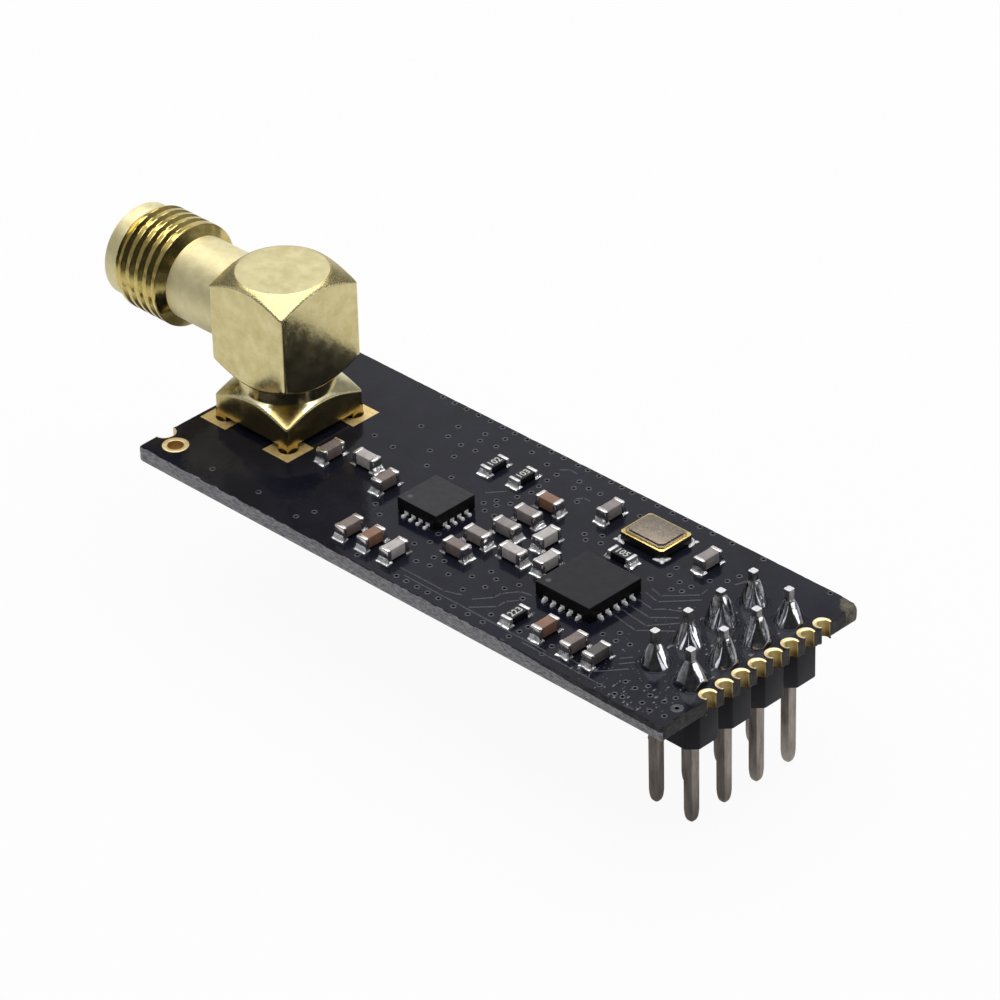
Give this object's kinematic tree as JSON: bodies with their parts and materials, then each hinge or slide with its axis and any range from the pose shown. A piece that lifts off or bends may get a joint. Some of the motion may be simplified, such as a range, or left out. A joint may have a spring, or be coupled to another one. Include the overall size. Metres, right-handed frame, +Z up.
{
  "type": "wireless transceiver module",
  "caption": "Small radio board with a right-angle threaded antenna jack at one end and a two-row pin header with plated half holes at the other.",
  "frame": {"origin": "centre of the header's pins on its seating plane, the underside of the header strip", "axes": "+Z up from the component side of the board, +X along the board from the antenna jack to the header, +Y across the board"},
  "size_m": [0.0482, 0.0154, 0.0185],
  "materials": {
    "solder_mask": "glossy black solder mask over glass-fibre board",
    "strip_plastic": "matte black moulded plastic",
    "pin_metal": "dull tin plate",
    "chip_plastic": "dark grey moulding compound",
    "tinned_copper": "tinned copper",
    "crystal_ceramic": "black ceramic",
    "gold_plate": "bright thin gold plate on copper",
    "lid_metal": "matte nickel plate",
    "tinned_end": "tin plate",
    "gold_plated_brass": "satin gold plate on turned brass",
    "white_dielectric": "white waxy plastic",
    "solder": "bright solder",
    "capacitor_ceramic": "fired ceramic",
    "resistor_ceramic": "black glaze on ceramic"
  },
  "bodies": {
    "root": {"amplifier_chip": "chip_plastic", "amplifier_chip_joints": "solder", "amplifier_chip_leads": "tinned_copper", "amplifier_supply_capacitor_1": "capacitor_ceramic", "amplifier_supply_capacitor_2": "capacitor_ceramic", "amplifier_supply_capacitor_3": "capacitor_ceramic", "antenna_pin_capacitor": "capacitor_ceramic", "balun_capacitor_1": "capacitor_ceramic", "balun_capacitor_2": "capacitor_ceramic", "bias_resistor": "resistor_ceramic", "capacitor_ends": "tinned_end", "capacitor_joints": "solder", "circuit_board": "solder_mask", "crystal_base": "crystal_ceramic", "crystal_joints": "solder", "crystal_lid": "lid_metal", "crystal_load_capacitor_1": "capacitor_ceramic", "crystal_load_capacitor_2": "capacitor_ceramic", "crystal_resistor": "resistor_ceramic", "crystal_seam_frame": "gold_plate", "edge_half_holes": "gold_plate", "edge_notch_lining": "gold_plate", "enable_pull_resistor": "resistor_ceramic", "gain_set_resistor": "resistor_ceramic", "harmonic_filter_capacitor": "capacitor_ceramic", "header_joints": "solder", "header_pins": "pin_metal", "header_strip": "strip_plastic", "input_filter_capacitor": "capacitor_ceramic", "jack_barrel": "gold_plated_brass", "jack_barrel_dielectric": "white_dielectric", "jack_block": "gold_plated_brass", "jack_block_dielectric": "white_dielectric", "jack_contact": "gold_plated_brass", "jack_joints": "solder", "jack_leg_pads": "gold_plate", "jack_signal_pin": "gold_plated_brass", "output_match_capacitor": "capacitor_ceramic", "radio_chip": "chip_plastic", "radio_chip_joints": "solder", "radio_chip_leads": "tinned_copper", "radio_supply_capacitor_1": "capacitor_ceramic", "radio_supply_capacitor_2": "capacitor_ceramic", "radio_supply_capacitor_3": "capacitor_ceramic", "receive_path_capacitor_1": "capacitor_ceramic", "receive_path_capacitor_2": "capacitor_ceramic", "resistor_ends": "tinned_end", "resistor_joints": "solder", "switch_bias_capacitor_1": "capacitor_ceramic", "switch_bias_capacitor_2": "capacitor_ceramic", "switch_bias_capacitor_3": "capacitor_ceramic", "test_hole_ring": "gold_plate"}
  },
  "joints": []
}
